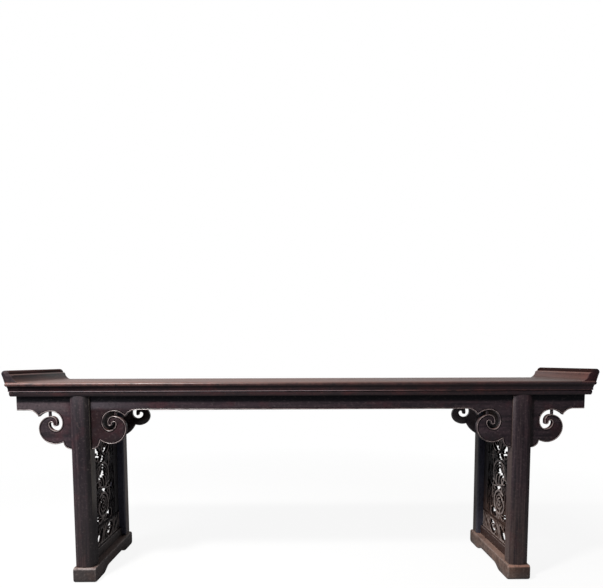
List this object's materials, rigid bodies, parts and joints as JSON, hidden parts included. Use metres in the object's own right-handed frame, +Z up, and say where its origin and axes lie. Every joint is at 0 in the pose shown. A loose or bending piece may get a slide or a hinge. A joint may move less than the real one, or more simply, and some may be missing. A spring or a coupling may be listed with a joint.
{
  "type": "altar table",
  "caption": "Long trestle altar table with everted end flanges, moulded top edge, cloud-scroll spandrels and pierced carved panels between the legs of each trestle.",
  "frame": {"origin": "on the floor, under the middle of the table", "axes": "+X along the table to its right-hand end seen from the front, +Y from front to rear, +Z up"},
  "size_m": [2.606, 0.488, 0.953],
  "materials": {
    "top_wood": "worn dark lacquer, satin",
    "frame_wood": "worn dark lacquer, satin",
    "carved_wood": "worn dark lacquer, dusty",
    "base_wood": "worn dark lacquer, matt"
  },
  "bodies": {
    "root": {"apron_front": "frame_wood", "apron_left": "frame_wood", "apron_rear": "frame_wood", "apron_right": "frame_wood", "carved_panel_left": "carved_wood", "carved_panel_right": "carved_wood", "foot_left": "base_wood", "foot_right": "base_wood", "leg_front_left": "frame_wood", "leg_front_right": "frame_wood", "leg_rear_left": "frame_wood", "leg_rear_right": "frame_wood", "lower_rail_left": "base_wood", "lower_rail_right": "base_wood", "spandrel_inner_front_left": "frame_wood", "spandrel_inner_front_right": "frame_wood", "spandrel_inner_rear_left": "frame_wood", "spandrel_inner_rear_right": "frame_wood", "spandrel_outer_front_left": "frame_wood", "spandrel_outer_front_right": "frame_wood", "spandrel_outer_rear_left": "frame_wood", "spandrel_outer_rear_right": "frame_wood", "top_batten_1": "top_wood", "top_batten_2": "top_wood", "top_batten_3": "top_wood", "top_batten_4": "top_wood", "top_batten_5": "top_wood", "top_batten_6": "top_wood", "top_batten_7": "top_wood", "top_board_front": "top_wood", "top_board_rear": "top_wood", "top_end_left": "top_wood", "top_end_right": "top_wood", "top_rail_front": "top_wood", "top_rail_rear": "top_wood", "upper_rail_left": "base_wood", "upper_rail_right": "base_wood"}
  },
  "joints": []
}
